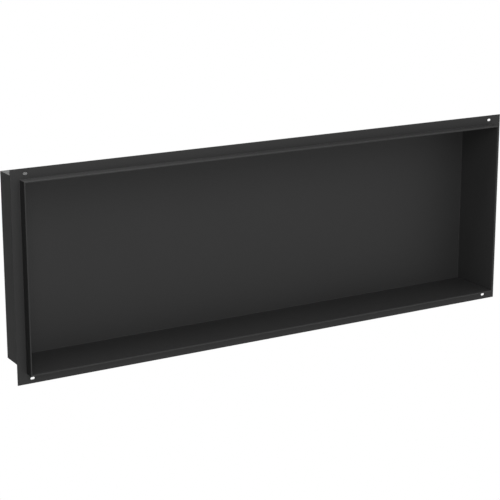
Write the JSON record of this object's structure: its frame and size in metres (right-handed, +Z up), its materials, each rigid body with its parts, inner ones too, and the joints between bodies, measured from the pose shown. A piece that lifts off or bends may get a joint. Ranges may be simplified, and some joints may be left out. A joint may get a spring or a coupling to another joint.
{
  "type": "shower niche insert",
  "caption": "Recessed shower niche: an open-fronted box of folded black sheet metal with a raised hemmed rim and a flat wall flange that has slotted screw holes near its corners.",
  "frame": {"origin": "middle of the flange's back face, on the surface of the wall that the niche is let into", "axes": "+X along the niche to the right as seen from the room, +Y into the wall, +Z up"},
  "size_m": [0.9358, 0.101, 0.341],
  "materials": {
    "black_powder_coat": "satin black powder coat with a fine orange-peel texture"
  },
  "bodies": {
    "root": {"niche_box": "black_powder_coat"}
  },
  "joints": []
}
